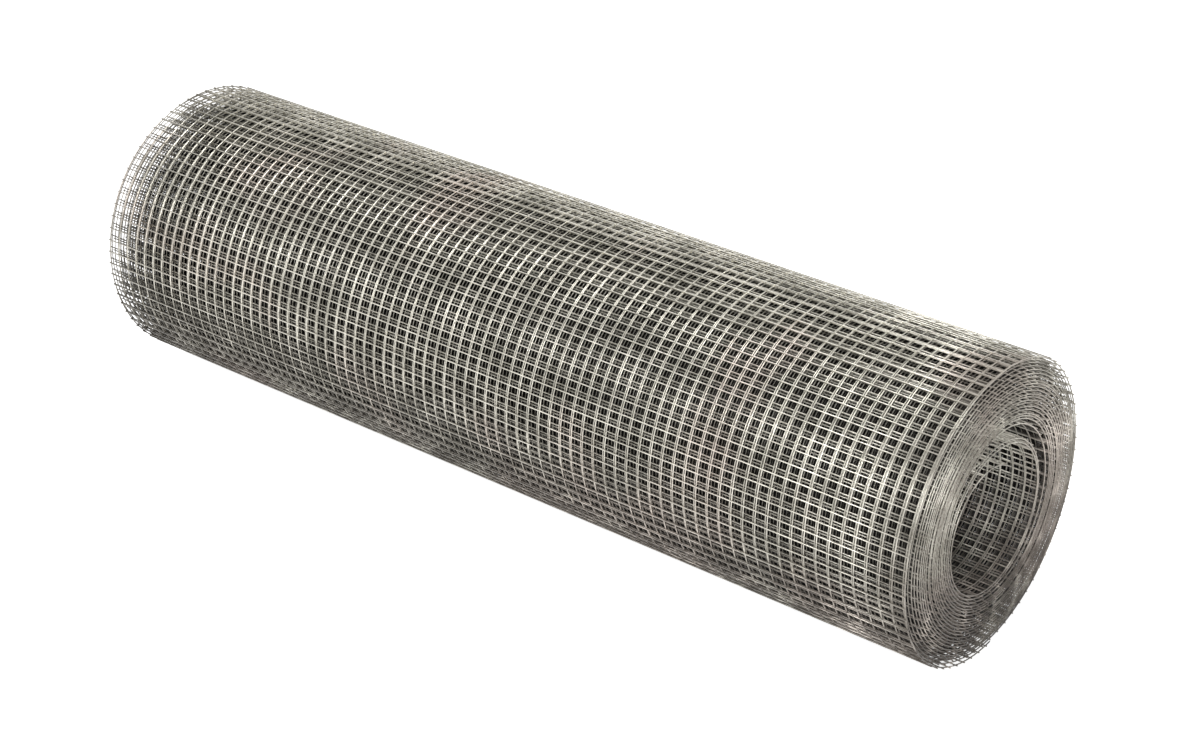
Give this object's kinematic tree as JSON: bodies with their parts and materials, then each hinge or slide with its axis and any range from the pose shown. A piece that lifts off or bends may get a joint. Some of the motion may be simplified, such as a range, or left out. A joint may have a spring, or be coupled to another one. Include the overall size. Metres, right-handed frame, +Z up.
{
  "type": "roll of welded wire mesh fencing",
  "caption": "Full roll of small-cell galvanised welded wire mesh lying on its side, wound tight round an open bore.",
  "frame": {"origin": "on the floor under the middle of the roll, below its axis", "axes": "+X along the roll's axis, +Z up, +Y across the roll"},
  "size_m": [1, 0.2918, 0.292],
  "materials": {
    "galvanised_wire": "galvanised wire, weathered satin grey with brighter high points"
  },
  "bodies": {
    "root": {"mesh_roll": "galvanised_wire"}
  },
  "joints": []
}
